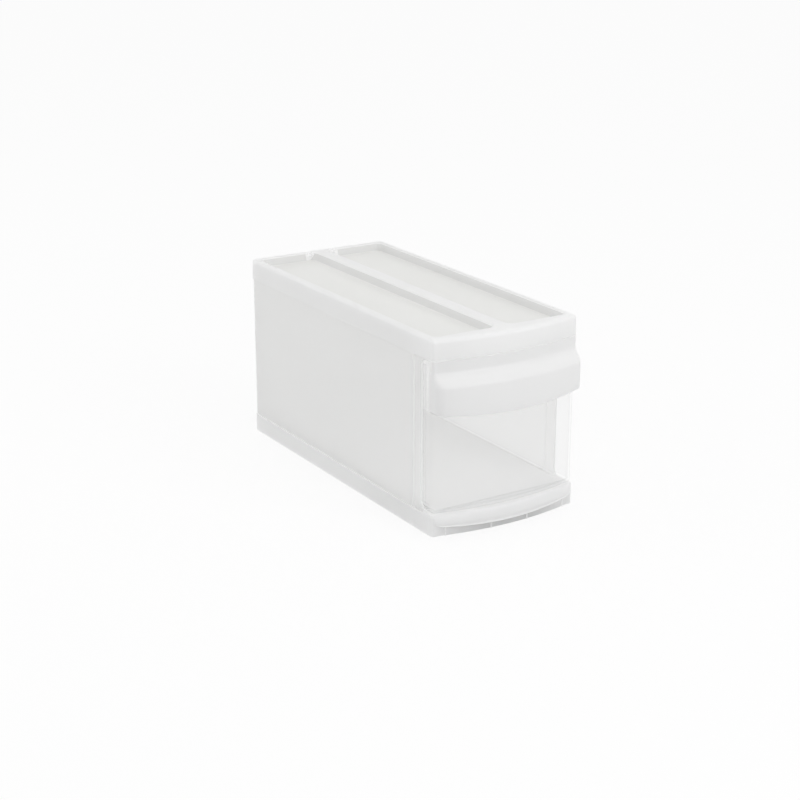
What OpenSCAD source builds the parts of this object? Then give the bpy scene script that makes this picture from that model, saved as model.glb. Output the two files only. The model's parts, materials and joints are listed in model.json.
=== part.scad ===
// Stackable drawer box: a frosted casing of five snapped panels and one clear sliding drawer.
// X is the width, Y the depth with the front at -Y, Z the height above the surface it stands on.

/* [Overall] */
// Width over the top cover and the base
overall_w = 170; // [150:1:200]
// Depth from the middle of the grip to the back
overall_d = 395; // [340:1:440]
// Height from the feet to the rim
overall_h = 203; // [180:1:240]
// How far the middle of the front stands out beyond its corners
bow_depth = 12; // [6:0.5:16]
// Plan radius of the two front corners
front_corner_r = 4; // [3:0.5:6]
// Plan radius of the two back corners
back_corner_r = 6; // [4:0.5:9]
// Gap between pieces that snap together
fit_gap = 0.3; // [0.2:0.05:0.5]

/* [Top cover] */
// Height of the skirt on the sides and the back
skirt_h = 22; // [16:0.5:28]
// Height of the header face above the drawer
header_h = 19; // [14:0.5:22]
// How far the header face runs round each corner
header_wrap = 6; // [4:0.5:10]
// Wall of the cover, the trays and the base
shell_t = 2; // [1.6:0.1:2.6]
// Thickness of the rim's flat top
rim_t = 2.5; // [2:0.1:3]
// Radius of the outer top edge
top_edge_r = 4; // [2.5:0.25:5]
// How much wider the skirt is at its lower edge
skirt_draft = 0.4; // [0:0.1:0.6]
// Width of the rim along each side
side_rim_w = 7.5; // [6.5:0.5:12]
// Width of the rim along the back
back_rim_w = 9; // [7:0.5:14]
// Width of the rim behind the front corners
front_rim_w = 8; // [5:0.5:14]
// Width of the bar between the two trays
centre_bar_w = 16; // [12:0.5:24]
// Depth of the stacking trays
tray_depth = 9; // [7:0.5:12]
// How far the tray walls slope in on their way down
tray_slope = 3; // [1:0.5:5]
// Plan radius of the tray corners
tray_corner_r = 7; // [5:0.5:10]
// Distance of each lock notch from the centre line
notch_x = 14.5; // [13:0.5:20]
// Width of a lock notch
notch_w = 6; // [5:0.5:8]
// Height of a lock notch
notch_h = 5; // [3:0.5:6]
// How far a lock notch reaches into the back rim
notch_d = 4; // [2:0.5:5]
// Width of the rib in a lock notch
notch_rib_w = 2.4; // [1.6:0.2:3]
// Height of that rib
notch_rib_h = 4; // [2:0.5:5]

/* [Panels] */
// Thickness of the side and back panels
panel_t = 2; // [1.6:0.1:2.4]
// How far the panels lie inside the cover and the base
panel_inset = 1; // [0.6:0.1:1.4]
// Depth of the cutout at the front of each side
cutout_d = 25; // [20:1:34]
// Width of the stepped border behind the cutout
border_w = 11; // [8:0.5:16]
// Radius in the corners of the cutout
cutout_r = 7; // [4:0.5:9]
// Gap between the edge of the cutout and the closed drawer
cutout_gap = 0.5; // [0.4:0.1:0.8]
// Width of the bead on the inner face behind the border
bead_w = 2; // [1.5:0.1:3]
// Height of that bead
bead_t = 0.8; // [0.4:0.1:0.9]
// Width of the side panel's return round the back corner
return_w = 11; // [9:0.5:20]
// Overlap of the back panel behind that return
back_lap = 6; // [4:0.5:8]
// How far the tongues start inside the panels' upper and lower edges
tongue_lap = 2; // [1:0.5:4]
// Thickness of the flanges that hold the tongues from the inside
guide_t = 1.6; // [1.2:0.1:2]

/* [Base] */
// Height of the feet below the base band
foot_h = 3; // [2:0.5:5]
// Width of a foot
foot_w = 13; // [8:1:20]
// Length of a foot
foot_l = 44; // [30:1:60]
// Gap between a foot and the tray of the box below
stack_gap = 0.8; // [0.5:0.1:1.5]
// Height of the base band on the sides and the back
band_top = 22.4; // [18:0.2:26]
// Height of the floor plate's underside
floor_z = 6; // [5:0.5:9]
// Height of the holding flanges above the floor plate's underside
guide_h = 12; // [8:0.5:16]
// Height of the ledge behind the front lip
ledge_z = 25.5; // [22:0.5:30]
// Depth of that ledge behind the front corners
ledge_d = 17.5; // [16:0.5:22]
// How far the lip stands out beyond the front face
lip_out = 2; // [1:0.25:3]
// Height of the lip's lower edge in the middle
lip_low_z = 8.4; // [7:0.2:11]
// How much that edge rises towards the corners
lip_rise = 4.5; // [2:0.5:6]
// Height of the lip's rounded top
lip_round_h = 9.5; // [6:0.5:12]
// How far the kick wall stands back under the lip
kick_back = 1.5; // [1:0.25:3]
// Distance of the kick wall's ends from the centre line
kick_half_w = 79; // [77:0.5:80]
// Thickness of the ribs under the lip
kick_rib_t = 1.4; // [1:0.1:2.4]
// How far those ribs lie behind the casing's bow
kick_rib_inset = 0.3; // [0.1:0.1:0.8]
// Distance of the outer ribs from the centre line
kick_rib_outer = 71; // [60:1:76]
// Distance of the inner ribs from the centre line
kick_rib_inner = 21.5; // [14:0.5:30]
// Depth of the seam groove below each side panel's step
seam_d = 0.6; // [0.3:0.1:1]
// Width of that groove
seam_w = 0.8; // [0.4:0.1:1.4]
// Distance of the runners from the centre line
runner_x = 57; // [48:1:64]
// Width of a runner
runner_w = 4; // [2.4:0.2:6]
// Width of the relief slot in the ledge above each runner's end
slot_w = 14; // [8:1:18]
// Length of that slot
slot_l = 5; // [4.5:0.25:7]

/* [Drawer] */
// Wall of the clear drawer
tub_t = 2; // [1.6:0.1:2.4]
// Gap between the drawer and the side panels
slide_gap = 1; // [0.6:0.1:1.6]
// Gap between the drawer and what it slides on
runner_gap = 0.4; // [0.3:0.05:0.8]
// Gap between the drawer front and the ledge below it
front_gap = 1; // [0.8:0.1:1.5]
// Gap between the header and the top of the handle
header_gap = 2.2; // [1.5:0.1:4]
// How far the drawer's front sides lie inside the casing's width
ear_inset = 1.6; // [1.4:0.1:2.2]
// How far the clear front lies behind the casing's bow
face_inset = 1.5; // [1:0.1:2]
// Height of the drawer's sides and back below the top cover's trays
tub_headroom = 20; // [12:1:50]
// Radius of the drawer's upright corners
tub_corner_r = 5; // [3:0.5:8]
// Gap between the drawer and the back panel
back_gap = 2; // [1:0.5:5]
// How far the drawer opens
travel = 300; // [220:5:305]
// Width of a stop tab under the drawer
tab_w = 16; // [10:1:24]
// Distance of the stop tabs from the centre line
tab_x = 38; // [24:1:42]
// Length of a stop tab along the depth
tab_l = 3; // [2:0.5:5]
// Height of a stop tab
tab_h = 6; // [4:0.5:8]

/* [Handle] */
// How far the grip stands out beyond the front face
grip_out = 11; // [8:0.5:16]
// Height of the handle in the middle
handle_h = 55.8; // [50:0.2:60]
// How much its lower edge rises towards the corners
grip_rise = 5; // [2:0.5:8]
// Height of the grip's front face up to its ridge
grip_face_h = 30; // [20:1:40]
// Height of the curve from the ridge back to the bowed face
grip_curve_h = 15; // [10:0.5:20]
// Wall of the handle
handle_t = 2; // [1.6:0.1:2.6]
// Plan radius of the grip's ends
grip_corner_r = 9; // [5:0.5:11]
// Thickness of the handle's end plates beside the drawer
end_t = 1; // [0.8:0.1:1.1]
// How far the end plates run back beside the drawer
end_wrap = 6; // [4:0.5:9]
// Radius of each end plate's upper back corner
end_corner_r = 16; // [6:1:20]
// Height of the hook behind the drawer front's top edge
hook_h = 12; // [8:0.5:18]

/* [Hidden] */

frosted = "#E6E7E5";
clear = "#EEF2F1";
cut = 1;
least_r = 0.5;
sheet_t = 0.01;
arc_steps = 6;
bow_steps = 30;
edge_steps = 4;
curve_steps = 8;
round_fn = 96;
half_turn = 180;
quarter_turn = 90;
turn_fn = 360;

half_w = overall_w / 2;
back_y = overall_d / 2;
corner_y = -overall_d / 2 + bow_depth + grip_out;
bow_r = (half_w * half_w + bow_depth * bow_depth) / (2 * bow_depth);
bow_cy = corner_y - bow_depth + bow_r;
bow_sweep = 2 * asin(half_w / bow_r) + 2;
deep = overall_d + overall_w;

skirt_z = overall_h - skirt_h;
header_z = overall_h - header_h;
rim_under_z = overall_h - rim_t;
tray_z = overall_h - tray_depth;
tray_under_z = tray_z - shell_t;
tray_x0 = centre_bar_w / 2;
tray_x1 = half_w - side_rim_w;
tray_y0 = corner_y + front_rim_w;
tray_y1 = back_y - back_rim_w;

floor_top = floor_z + shell_t;
panel_out_x = half_w - panel_inset;
tongue_x1 = half_w - shell_t - fit_gap;
tongue_x0 = tongue_x1 - panel_t;
panel_z0 = band_top + fit_gap;
panel_z1 = skirt_z - fit_gap;
panel_y0 = corner_y + cutout_d;
step_y = panel_y0 + border_w;
panel_back_y = back_y - panel_inset;
border_x1 = panel_out_x - panel_t;
border_x0 = border_x1 - panel_t;
guide_x1 = tongue_x0 - fit_gap;

tub_half_w = border_x0 - slide_gap;
tub_z0 = ledge_z + front_gap;
tub_floor_z = tub_z0 + tub_t;
runner_z = tub_z0 - runner_gap;
tub_z1 = tray_under_z - tub_headroom;
tub_y1 = panel_back_y - 2 * panel_t - fit_gap - back_gap;
ear_half_w = half_w - ear_inset;
ear_y1 = panel_y0 - cutout_gap;
ear_front_r = max(front_corner_r - face_inset, least_r);
handle_top_z = header_z - header_gap;
ear_z1 = handle_top_z - handle_t - fit_gap;
window_r = bow_r - face_inset;
tab_y = corner_y + ledge_d + travel + fit_gap;

handle_half_w = ear_half_w + fit_gap + end_t;
grip_low_z = handle_top_z - handle_h;
grip_ridge_z = grip_low_z + grip_face_h;
foot_x1 = tray_x1 - tray_slope * foot_h / tray_depth - stack_gap;
foot_y0 = tray_y0 + tray_corner_r;
foot_y1 = tray_y1 - tray_corner_r - foot_l;

// Points along an arc, from angle a0 to angle a1
function arc(cx, cy, r, a0, a1, n) =
    [for (i = [0:n]) let (a = a0 + (a1 - a0) * i / n) [cx + r * cos(a), cy + r * sin(a)]];

// Height of the middle of the fillet between a side at half-width w and the bow of radius r
function fillet_y(w, r, f) = bow_cy - sqrt((r - f) * (r - f) - (w - f) * (w - f));

// Closed outline with a bowed front: half-width w, bow radius r, back at y1, corner radii f and b
function bowed(w, r, y1, f, b) =
    let (fy = fillet_y(w, r, f), lean = atan2(bow_cy - fy, w - f))
    concat(arc(0, bow_cy, r, half_turn + lean, 2 * half_turn - lean, bow_steps),
           arc(w - f, fy, f, -lean, 0, arc_steps),
           arc(w - b, y1 - b, b, 0, quarter_turn, arc_steps),
           arc(b - w, y1 - b, b, quarter_turn, half_turn, arc_steps),
           arc(f - w, fy, f, half_turn, half_turn + lean, arc_steps));

// Outline of the casing, moved in by d
function casing_outline(d) =
    bowed(half_w - d, bow_r - d, back_y - d,
          max(front_corner_r - d, least_r), max(back_corner_r - d, least_r));

// Closed rounded rectangle
function round_rect(x0, x1, y0, y1, r) =
    concat(arc(x0 + r, y0 + r, r, half_turn, half_turn + quarter_turn, arc_steps),
           arc(x1 - r, y0 + r, r, -quarter_turn, 0, arc_steps),
           arc(x1 - r, y1 - r, r, 0, quarter_turn, arc_steps),
           arc(x0 + r, y1 - r, r, quarter_turn, half_turn, arc_steps));

// Prism between two heights
module slab(points, z0, z1) {
    translate([0, 0, z0])
        linear_extrude(z1 - z0)
            polygon(points);
}

// Box between two corners
module block(a, b) {
    translate(a)
        cube(b - a);
}

// Children drawn as (Y, Z) and extruded along X between x0 and x1
module across(x0, x1) {
    translate([x0, 0, 0])
        rotate([quarter_turn, 0, quarter_turn])
            linear_extrude(x1 - x0)
                children();
}

// Profile drawn as (distance out from the bowed face, Z) and swept along the bow
module along_bow(points) {
    translate([0, bow_cy, 0])
        rotate([0, 0, -quarter_turn - bow_sweep / 2])
            rotate_extrude(angle = bow_sweep, $fn = turn_fn)
                polygon([for (p = points) [bow_r + p[0], p[1]]]);
}

// Everything above an arc that is lowest in the middle of the width
module above_arc(low_z, rise) {
    r = (half_w * half_w + rise * rise) / (2 * rise);
    translate([0, deep / 2, low_z + r])
        rotate([quarter_turn, 0, 0])
            cylinder(r = r, h = deep, $fn = turn_fn * 2);
}

// Tray outline on one side, grown by d
function tray_outline(s, d, slope) =
    let (x0 = tray_x0 + slope - d, x1 = tray_x1 - slope + d)
    round_rect(s > 0 ? x0 : -x1, s > 0 ? x1 : -x0, tray_y0 + slope - d, tray_y1 - slope + d,
               tray_corner_r + d);

// Tapered tray body between two heights, grown by d
module tray(s, d, z0, z1) {
    hull() {
        slab(tray_outline(s, d, tray_slope), z0, z0 + sheet_t);
        slab(tray_outline(s, d, 0), z1 - sheet_t, z1);
    }
}

// Outside of the top cover with its rounded top edge
module cover_outside() {
    hull() {
        slab(casing_outline(0), skirt_z, skirt_z + sheet_t);
        for (i = [0:edge_steps]) {
            a = quarter_turn * i / edge_steps;
            z = overall_h - top_edge_r * (1 - sin(a));
            slab(casing_outline(skirt_draft + top_edge_r * (1 - cos(a))), z - sheet_t, z);
        }
    }
}

module lock_notch(s) {
    notch_y = tray_y1 - tray_slope;
    block([s * notch_x - notch_w / 2, notch_y, overall_h - notch_h],
          [s * notch_x + notch_w / 2, tray_y1 + notch_d, overall_h + cut]);
}

module lock_rib(s) {
    block([s * notch_x - notch_rib_w / 2, tray_y1, overall_h - notch_h],
          [s * notch_x + notch_rib_w / 2, tray_y1 + notch_d, overall_h - notch_h + notch_rib_h]);
}

// Inner flanges that hold the tongues of the panels from the inside
module panel_guides(z0, z1) {
    for (s = [-1, 1]) {
        xa = s * guide_x1;
        xb = s * (guide_x1 - guide_t);
        block([min(xa, xb), step_y, z0], [max(xa, xb), panel_back_y - return_w, z1]);
    }
    y1 = panel_back_y - 2 * panel_t - 2 * fit_gap;
    block([-half_w + 2 * return_w, y1 - guide_t, z0], [half_w - 2 * return_w, y1, z1]);
}

module top_cover() {
    color(frosted) {
        difference() {
            union() {
                difference() {
                    cover_outside();
                    slab(casing_outline(shell_t), skirt_z - cut, rim_under_z);
                }
                for (s = [-1, 1])
                    tray(s, shell_t, tray_under_z, rim_under_z + rim_t / 2);
                panel_guides(skirt_z + tongue_lap, rim_under_z + rim_t / 2);
                // Back wall of each lock notch
                block([-notch_x - notch_w, tray_y1 - tray_slope, tray_under_z],
                      [notch_x + notch_w, tray_y1 + notch_d + shell_t / 2, rim_under_z + rim_t / 2]);
            }
            for (s = [-1, 1]) {
                tray(s, 0, tray_z, overall_h + sheet_t);
                lock_notch(s);
            }
            block([-half_w - cut, -overall_d, skirt_z - cut],
                  [half_w + cut, corner_y + header_wrap, header_z]);
        }
        for (s = [-1, 1])
            lock_rib(s);
    }
}

// Front edge of a side panel: the border behind the cutout, with a filleted toe at each end
module border_profile() {
    toe_z0 = tub_z0 + cutout_r;
    toe_z1 = ear_z1 - cutout_r;
    translate([panel_y0, panel_z0])
        square([border_w + panel_t, panel_z1 - panel_z0]);
    difference() {
        union() {
            translate([panel_y0 - cutout_r, panel_z0])
                square([cutout_r + cut, toe_z0 - panel_z0]);
            translate([panel_y0 - cutout_r, toe_z1])
                square([cutout_r + cut, panel_z1 - toe_z1]);
        }
        for (z = [toe_z0, toe_z1])
            translate([ear_y1 - cutout_r, z])
                circle(r = cutout_r + cutout_gap, $fn = round_fn);
    }
}

// Plan of a side panel's field and of its return round the back corner
module panel_plan() {
    r = back_corner_r - panel_inset;
    points = concat([[border_x1, step_y], [panel_out_x, step_y]],
                    arc(panel_out_x - r, panel_back_y - r, r, 0, quarter_turn, arc_steps),
                    [[panel_out_x - return_w, panel_back_y],
                     [panel_out_x - return_w, panel_back_y - panel_t]],
                    arc(panel_out_x - r, panel_back_y - r, r - panel_t, quarter_turn, 0, arc_steps));
    polygon(points);
}

module side_panel() {
    translate([0, 0, panel_z0])
        linear_extrude(panel_z1 - panel_z0)
            panel_plan();
    across(border_x0, border_x1)
        border_profile();
    // Tongues in the top cover and in the base
    block([tongue_x0, step_y, panel_z1 - tongue_lap],
          [tongue_x1, panel_back_y - back_corner_r, rim_under_z - fit_gap]);
    block([tongue_x0, step_y, floor_top + fit_gap],
          [tongue_x1, panel_back_y - back_corner_r, panel_z0 + tongue_lap]);
    // Bead beside the border
    block([border_x1 - bead_t, step_y + border_w / 2, panel_z0 + tongue_lap],
          [border_x1 + panel_t / 2, step_y + border_w / 2 + bead_w, panel_z1 - tongue_lap]);
}

module left_side_panel() {
    color(frosted)
        mirror([1, 0, 0])
            side_panel();
}

module right_side_panel() {
    color(frosted)
        side_panel();
}

module back_panel() {
    field_x = panel_out_x - return_w - fit_gap;
    lap_x = field_x + back_lap;
    lap_y1 = panel_back_y - panel_t - fit_gap;
    tongue_half_w = half_w - 2 * return_w;
    color(frosted) {
        block([-field_x, panel_back_y - panel_t - fit_gap, panel_z0],
              [field_x, panel_back_y, panel_z1]);
        block([-lap_x, lap_y1 - panel_t, panel_z0],
              [lap_x, lap_y1, panel_z1]);
        block([-tongue_half_w, lap_y1 - panel_t, floor_top + fit_gap],
              [tongue_half_w, lap_y1, tray_under_z - fit_gap]);
    }
}

// Bullnose that runs across the front of the base
module front_lip() {
    round_w = lip_out + shell_t;
    round_z = ledge_z - lip_round_h;
    nose = [for (i = [0:curve_steps]) let (a = quarter_turn * i / curve_steps)
            [lip_out - round_w * (1 - cos(a)), round_z + lip_round_h * sin(a)]];
    intersection() {
        along_bow(concat([[-shell_t, lip_low_z], [lip_out, lip_low_z]], nose));
        above_arc(lip_low_z, lip_rise);
        slab(bowed(half_w, bow_r + lip_out + cut, corner_y + header_wrap, front_corner_r, least_r),
             0, ledge_z);
    }
}

module kick_rib(x) {
    intersection() {
        slab(casing_outline(kick_rib_inset), foot_h, lip_low_z + lip_rise);
        block([x - kick_rib_t / 2, -overall_d, foot_h],
              [x + kick_rib_t / 2, corner_y, lip_low_z + lip_rise]);
    }
}

module foot(s, y0) {
    xa = s * foot_x1;
    xb = s * (foot_x1 - foot_w);
    block([min(xa, xb), y0, 0], [max(xa, xb), y0 + foot_l, floor_z + shell_t / 2]);
}

module base() {
    ledge_y = corner_y + ledge_d;
    color(frosted) {
        difference() {
            union() {
                // Band round the sides and the back, closed by the floor plate
                difference() {
                    slab(casing_outline(0), foot_h, band_top);
                    slab(casing_outline(shell_t), floor_top, band_top + cut);
                    slab(casing_outline(shell_t), foot_h - cut, floor_z);
                }
                // Ledge behind the lip
                intersection() {
                    slab(casing_outline(0), foot_h, ledge_z);
                    block([-half_w, -overall_d, foot_h], [half_w, ledge_y, ledge_z]);
                }
            }
            // Hollow of the ledge, open from below
            intersection() {
                slab(casing_outline(kick_back + shell_t), foot_h - cut, ledge_z - shell_t);
                block([-half_w, -overall_d, 0], [half_w, ledge_y - shell_t, ledge_z]);
            }
            // Recess of the kick wall under the lip
            difference() {
                block([-kick_half_w, -overall_d, foot_h - cut],
                      [kick_half_w, corner_y + front_corner_r, lip_low_z + shell_t]);
                slab(casing_outline(kick_back), 0, ledge_z);
            }
            // Seam groove in the band on each side
            for (s = [-1, 1])
                block([s * half_w - seam_d, step_y - seam_w / 2, foot_h - cut],
                      [s * half_w + seam_d, step_y + seam_w / 2, band_top / 2]);
            // Relief slots in the ledge
            for (s = [-1, 1])
                block([s * runner_x - slot_w / 2, ledge_y - shell_t - slot_l, ledge_z - shell_t - cut],
                      [s * runner_x + slot_w / 2, ledge_y - shell_t, ledge_z + cut]);
        }
        front_lip();
        for (x = [-kick_rib_outer, -kick_rib_inner, kick_rib_inner, kick_rib_outer])
            kick_rib(x);
        for (s = [-1, 1]) {
            block([s * runner_x - runner_w / 2, ledge_y - shell_t / 2, floor_z + shell_t / 2],
                  [s * runner_x + runner_w / 2, back_y - 2 * return_w, runner_z]);
            foot(s, foot_y0);
            foot(s, foot_y1);
        }
        panel_guides(floor_z + shell_t / 2, floor_z + guide_h);
    }
}

// Side view of the drawer's wider front part, with rounded back corners
module ear_side(y1, z0, z1, r) {
    translate([-overall_d, z0])
        square([y1 - r + overall_d, z1 - z0]);
    translate([y1 - 2 * r, z0 + r])
        square([2 * r, z1 - z0 - 2 * r]);
    for (z = [z0 + r, z1 - r])
        translate([y1 - r, z])
            circle(r = r, $fn = round_fn);
}

module drawer_tub() {
    inner_r = max(ear_front_r - tub_t, least_r);
    color(clear, 0.4) {
        difference() {
            union() {
                slab(round_rect(-tub_half_w, tub_half_w, ear_y1 - 2 * tub_corner_r, tub_y1, tub_corner_r),
                     tub_z0, tub_z1);
                intersection() {
                    slab(bowed(ear_half_w, window_r, ear_y1, ear_front_r, least_r), tub_z0, ear_z1);
                    across(-ear_half_w, ear_half_w)
                        ear_side(ear_y1, tub_z0, ear_z1, cutout_r);
                }
            }
            slab(round_rect(tub_t - tub_half_w, tub_half_w - tub_t, corner_y + tub_corner_r,
                            tub_y1 - tub_t, tub_corner_r - tub_t),
                 tub_floor_z, overall_h);
            intersection() {
                slab(bowed(ear_half_w - tub_t, window_r - tub_t, ear_y1 - tub_t, inner_r, least_r),
                     tub_floor_z, overall_h);
                across(-ear_half_w, ear_half_w)
                    ear_side(ear_y1 - tub_t, tub_floor_z, overall_h, cutout_r - tub_t);
            }
        }
        for (s = [-1, 1])
            block([s * tab_x - tab_w / 2, tab_y, tub_z0 - tab_h],
                  [s * tab_x + tab_w / 2, tab_y + tab_l, tub_z0 + tub_t / 2]);
    }
}

// Section of the grip as (distance out from the bowed face, Z), moved in by d: a straight face,
// then half a cosine wave from the ridge back to the bowed face
function grip_section(d) = concat(
    [[fit_gap - face_inset - d, grip_low_z - cut - d], [grip_out - d, grip_low_z - cut - d]],
    [for (i = [0:curve_steps]) let (a = half_turn * i / curve_steps)
        [grip_out * (1 + cos(a)) / 2 - d, grip_ridge_z + grip_curve_h * i / curve_steps - d * sin(a)]]);

// Side view of an end plate, with its upper back corner rounded
module end_side(y1, z1) {
    translate([-overall_d, 0])
        square([y1 + overall_d, z1 - end_corner_r]);
    translate([-overall_d, 0])
        square([y1 - end_corner_r + overall_d, z1]);
    translate([y1 - end_corner_r, z1 - end_corner_r])
        circle(r = end_corner_r, $fn = round_fn);
}

module drawer_handle() {
    skin = concat(grip_section(0),
                  [[0, handle_top_z], [fit_gap - face_inset, handle_top_z]]);
    skin_mid = (fit_gap - face_inset) / 2;
    wall_in = face_inset + tub_t + fit_gap;
    bridge = [[skin_mid, handle_top_z], [skin_mid, handle_top_z - handle_t],
              [-wall_in, handle_top_z - handle_t], [-wall_in, handle_top_z - hook_h],
              [-wall_in - handle_t, handle_top_z - hook_h], [-wall_in - handle_t, handle_top_z]];
    end_x = handle_half_w - end_t;
    end_y = corner_y + end_wrap;
    hook_half_w = ear_half_w - tub_t - front_corner_r;
    color(frosted) {
        intersection() {
            union() {
                difference() {
                    along_bow(skin);
                    intersection() {
                        along_bow(grip_section(handle_t));
                        block([-end_x, -overall_d, 0], [end_x, back_y, overall_h]);
                    }
                }
                // End plates beside the drawer's front corners
                for (x = [-handle_half_w, end_x])
                    intersection() {
                        block([x, corner_y - skin_mid, 0], [x + end_t, back_y, overall_h]);
                        across(x, x + end_t)
                            end_side(end_y, handle_top_z - handle_t);
                    }
            }
            above_arc(grip_low_z, grip_rise);
            slab(bowed(handle_half_w, bow_r + grip_out + cut, end_y, grip_corner_r, least_r),
                 0, handle_top_z);
        }
        intersection() {
            along_bow(bridge);
            block([-hook_half_w, -overall_d, 0], [hook_half_w, back_y, overall_h]);
        }
    }
}

top_cover();
left_side_panel();
right_side_panel();
back_panel();
base();
drawer_tub();
drawer_handle();
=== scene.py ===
import json
import math

import bmesh
import bpy
import numpy as np
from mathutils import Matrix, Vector

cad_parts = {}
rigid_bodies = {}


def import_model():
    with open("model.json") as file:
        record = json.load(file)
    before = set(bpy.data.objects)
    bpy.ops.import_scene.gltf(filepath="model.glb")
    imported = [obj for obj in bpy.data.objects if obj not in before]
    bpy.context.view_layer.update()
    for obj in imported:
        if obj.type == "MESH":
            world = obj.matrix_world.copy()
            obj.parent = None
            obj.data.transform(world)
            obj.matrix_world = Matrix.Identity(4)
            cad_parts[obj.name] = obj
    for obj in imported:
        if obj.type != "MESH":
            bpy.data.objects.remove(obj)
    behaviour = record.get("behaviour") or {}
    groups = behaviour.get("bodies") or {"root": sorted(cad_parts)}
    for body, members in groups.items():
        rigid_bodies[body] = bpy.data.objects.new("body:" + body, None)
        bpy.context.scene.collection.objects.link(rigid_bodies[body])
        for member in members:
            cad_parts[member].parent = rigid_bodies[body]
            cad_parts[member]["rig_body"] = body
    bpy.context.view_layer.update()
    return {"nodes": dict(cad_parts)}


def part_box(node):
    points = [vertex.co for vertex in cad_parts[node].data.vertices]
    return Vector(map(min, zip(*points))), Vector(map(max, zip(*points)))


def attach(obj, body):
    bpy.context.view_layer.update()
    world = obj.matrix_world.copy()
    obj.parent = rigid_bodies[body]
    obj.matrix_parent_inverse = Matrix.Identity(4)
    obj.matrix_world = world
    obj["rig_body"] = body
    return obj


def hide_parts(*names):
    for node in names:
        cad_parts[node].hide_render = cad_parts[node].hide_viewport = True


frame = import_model()
print("frame loaded:", ", ".join(sorted(frame["nodes"])))

# Values that all pieces share, in millimetres apart from the first
millimetre = 0.001
leastRadius = 0.5                # no corner of an outline is sharper than this
leastEdge = 0.02                 # nor an upright edge of a box
bite = 1.0                       # how far a solid reaches into the one that it joins or cuts
hair = 0.02                      # keeps the faces of joined solids out of one plane
softEdge = 0.3                   # rounding of small edges
crispEdge = 0.1                  # rounding of edges that end in another wall


def span(node):
    # Lowest and highest corner of a CAD node, in millimetres
    low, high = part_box(node)
    return np.array(low) / millimetre, np.array(high) / millimetre


# Paths in plan, in millimetres

def arc(x, y, radius, fromAngle, toAngle, steps):
    # Centre plus radius times (cosine, sine) of evenly spaced angles in degrees
    angle = np.radians(np.linspace(fromAngle, toAngle, steps + 1))
    return np.stack([x + radius * np.cos(angle), y + radius * np.sin(angle)], axis=1)


def line(start, end, steps):
    # Evenly spaced points from start to end
    share = np.linspace(0, 1, steps + 1)[:, None]
    return np.array(start, float) * (1 - share) + np.array(end, float) * share


def chain(*parts):
    # Paths end to end, without the second copy of each joint
    return np.concatenate([parts[0]] + [part[1:] for part in parts[1:]])


def mirrored(path):
    # The same path on the other side of the middle plane
    return path * np.array([-1.0] + [1.0] * (path.shape[-1] - 1))


def bothHalves(half):
    # Closed loop: the right half from front to back, then its mirror image from back to front
    return np.concatenate([half, mirrored(half)[-2:0:-1]])


def acrossFront(half):
    # Open path over the middle of the front: the left half's mirror image, then the right half
    return np.concatenate([mirrored(half)[:0:-1], half])


def roundedPath(corners, radii, steps=5):
    # Straight runs with an arc at each inner corner. The arc touches both runs, and its points are the
    # start and end spokes turned into each other
    corners = np.array(corners, float)
    parts = [corners[:1]]
    for before, here, after, radius in zip(corners, corners[1:], corners[2:], radii):
        a, b = before - here, after - here
        a, b = a / np.linalg.norm(a), b / np.linalg.norm(b)
        half = math.acos(float(a @ b)) / 2
        centre = here + (a + b) / np.linalg.norm(a + b) * radius / math.sin(half)
        start = here + a * radius / math.tan(half) - centre
        end = here + b * radius / math.tan(half) - centre
        turn = math.pi - 2 * half
        share = np.linspace(0, 1, steps + 1)[:, None]
        parts.append(centre + (np.sin((1 - share) * turn) * start + np.sin(share * turn) * end)
                     / math.sin(turn))
    parts.append(corners[-1:])
    return np.concatenate(parts)


def quarterTurn(count):
    # Evenly spaced angles from 0 to 90 degrees, in radians
    return np.radians(np.linspace(0, 90, count))


def rounding(radius, count):
    # A rounded edge as distances from its side and from its end face, from the side round to the end:
    # radius times (1 minus cosine, 1 minus sine) over a quarter turn
    return [(radius * (1 - math.cos(a)), radius * (1 - math.sin(a))) for a in quarterTurn(count)]


def smooth(low, high, value):
    # Cubic step from 0 at low to 1 at high: 3 t squared minus 2 t cubed
    share = np.clip((np.asarray(value, float) - low) / (high - low), 0, 1)
    return share * share * (3 - 2 * share)


# Surfaces: each patch is its points and its faces

def lift(path, height):
    # A plan path at a height, which may differ from point to point
    return np.column_stack([path, np.broadcast_to(height, len(path))])


def grid(points, closedRows=False, closedColumns=False):
    # Quads between neighbouring rows and columns of a grid of points
    rows, columns = points.shape[:2]
    index = np.arange(rows * columns).reshape(rows, columns)
    if closedRows:
        index = np.concatenate([index, index[:1]])
    if closedColumns:
        index = np.concatenate([index, index[:, :1]], axis=1)
    quads = np.stack([index[:-1, :-1], index[:-1, 1:], index[1:, 1:], index[1:, :-1]], axis=-1)
    return points.reshape(-1, 3), quads.reshape(-1, 4)


def tube(loops):
    # Quads between closed loops, each joined to the next
    return grid(np.array(loops), closedColumns=True)


def fan(loop):
    # Triangles, as folded quads, from a closed loop to its middle, which closes the pole
    count = len(loop)
    ring = np.arange(count)
    quads = np.stack([ring, np.roll(ring, -1), np.full(count, count), np.full(count, count)], axis=1)
    middle = (loop.max(axis=0) + loop.min(axis=0)) / 2
    return np.vstack([loop, middle]), quads


def lid(loop):
    # One flat face over a closed loop
    return loop, [np.arange(len(loop))]


def slab(loops):
    # A tube with a lid at each end
    return [tube(loops), lid(loops[0]), lid(loops[-1])]


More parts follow.
